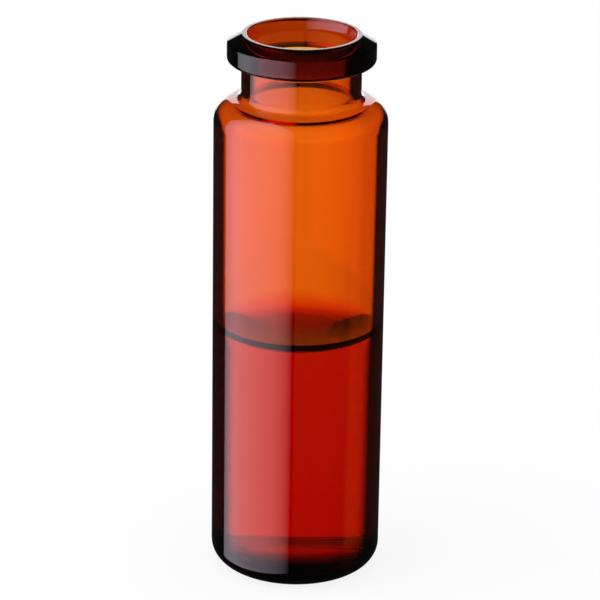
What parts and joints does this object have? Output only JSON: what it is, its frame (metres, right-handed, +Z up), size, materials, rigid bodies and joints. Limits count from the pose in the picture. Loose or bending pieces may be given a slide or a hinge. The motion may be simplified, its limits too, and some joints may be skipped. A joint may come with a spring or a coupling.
{
  "type": "glass sample vial",
  "caption": "Straight-sided amber glass vial with a bevelled crimp rim, short neck and open mouth, part filled with clear red liquid.",
  "frame": {"origin": "centre of the foot, on the plane that the vial stands on", "axes": "+Z up the vial's axis, from the foot to the open mouth; the part is round, so X and Y are free"},
  "size_m": [0.023, 0.023, 0.075],
  "materials": {
    "amber_glass": "polished",
    "red_liquid": "gloss"
  },
  "bodies": {
    "root": {"vial": "amber_glass", "sample_liquid": "red_liquid"}
  },
  "joints": []
}
